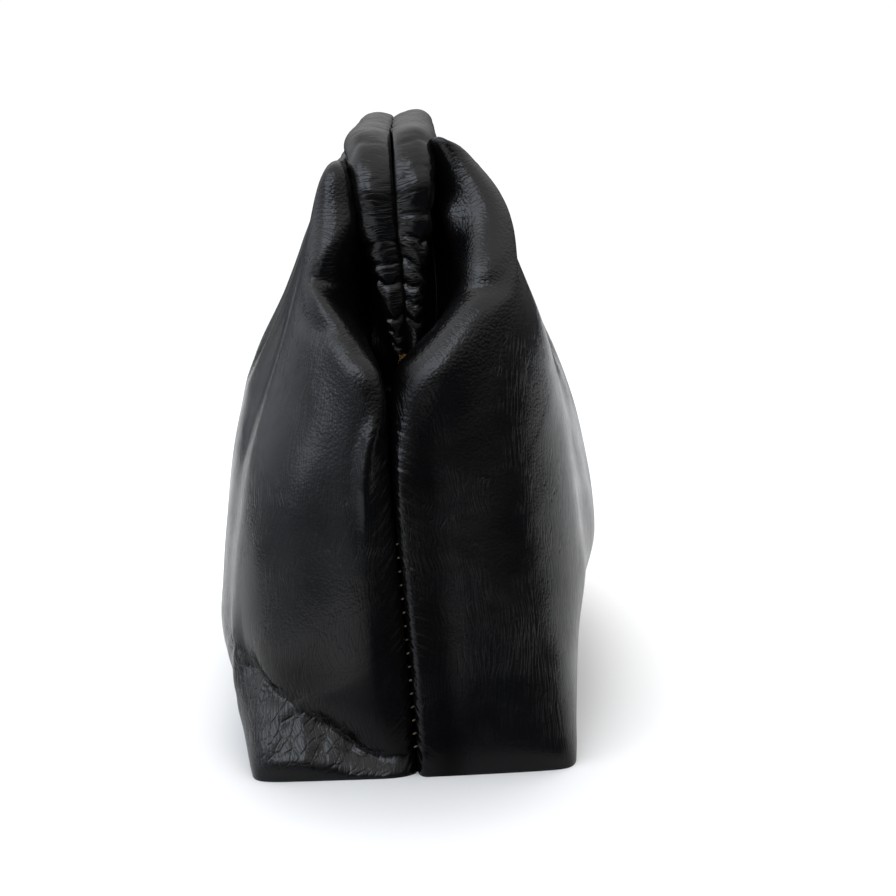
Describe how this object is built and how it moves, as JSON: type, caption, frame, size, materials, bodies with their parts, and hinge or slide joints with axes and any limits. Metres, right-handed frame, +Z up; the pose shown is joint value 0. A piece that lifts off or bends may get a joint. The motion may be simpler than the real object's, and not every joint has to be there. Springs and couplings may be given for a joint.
{
  "type": "pouch bag",
  "caption": "Soft black leather pouch bag that stands on a flat base, with sewn ends, gathered shoulders and ruched sleeves over a hinged inner frame.",
  "frame": {"origin": "on the surface that the bag stands on, under the middle of the bag", "axes": "+X along the bag towards the end that the picture shows, +Y towards the back panel, +Z up"},
  "size_m": [0.3288, 0.1493, 0.2218],
  "materials": {
    "black_leather": "smooth black nappa leather, satin, with fine grain and soft creases",
    "gold_metal": "polished pale gold metal"
  },
  "bodies": {
    "root": {"front_panel": "black_leather", "back_panel": "black_leather", "front_sleeve": "black_leather", "back_sleeve": "black_leather", "front_frame": "gold_metal", "back_frame": "gold_metal", "hinge_rivet_right": "gold_metal", "hinge_rivet_left": "gold_metal"}
  },
  "joints": []
}
